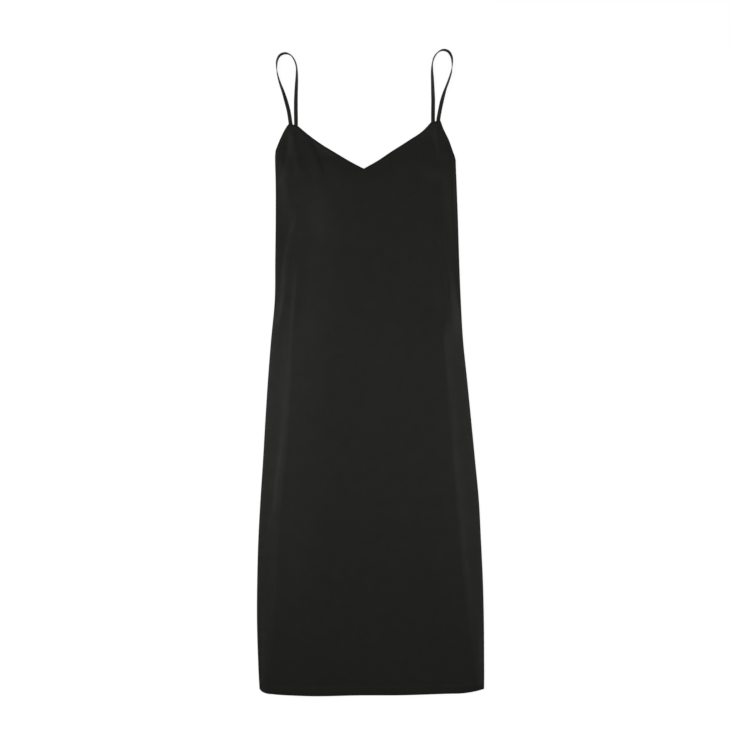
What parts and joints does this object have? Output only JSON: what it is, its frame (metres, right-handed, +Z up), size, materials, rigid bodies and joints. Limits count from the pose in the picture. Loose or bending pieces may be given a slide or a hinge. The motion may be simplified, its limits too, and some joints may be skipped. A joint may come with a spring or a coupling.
{
  "type": "slip dress laid flat",
  "caption": "Long slip dress with a V neckline and thin shoulder straps, laid flat with its front up.",
  "frame": {"origin": "under the middle of the dress, on the surface that it lies on", "axes": "+X across the dress, from its left edge as it lies to its right edge; +Y from the hem to the shoulder straps; +Z up, from the back to the front"},
  "size_m": [0.4434, 1.2614, 0.0092],
  "materials": {
    "crepe": "matt black crepe",
    "strap": "matt black, pressed flat"
  },
  "bodies": {
    "root": {"front_panel": "crepe", "back_panel": "crepe", "strap_left": "strap", "strap_right": "strap"}
  },
  "joints": []
}
